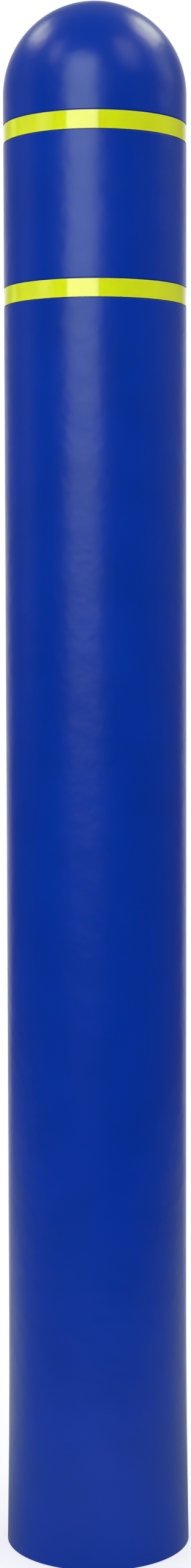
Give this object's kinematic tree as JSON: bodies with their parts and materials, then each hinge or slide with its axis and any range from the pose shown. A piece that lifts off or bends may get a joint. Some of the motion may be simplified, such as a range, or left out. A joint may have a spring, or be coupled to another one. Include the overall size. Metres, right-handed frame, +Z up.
{
  "type": "bollard cover sleeve",
  "caption": "Tall round plastic sleeve with a domed top and reflective tape bands that slips over a steel post to cover and mark it.",
  "frame": {"origin": "centre of the open mouth, on the ground that the sleeve stands on", "axes": "+Z up along the sleeve's axis to the top of the dome, -Y towards the side that the picture shows, +Y towards the back where the tape ends lap"},
  "size_m": [0.1827, 0.1828, 1.524],
  "materials": {
    "sleeve_plastic": "satin blue polyethylene, coloured right through",
    "reflective_tape": "glossy yellow-green reflective film",
    "foam": "matt black closed-cell foam"
  },
  "bodies": {
    "root": {"sleeve_shell": "sleeve_plastic", "upper_reflective_band": "reflective_tape", "lower_reflective_band": "reflective_tape", "upper_foam_wrap": "foam", "lower_foam_wrap": "foam"}
  },
  "joints": []
}
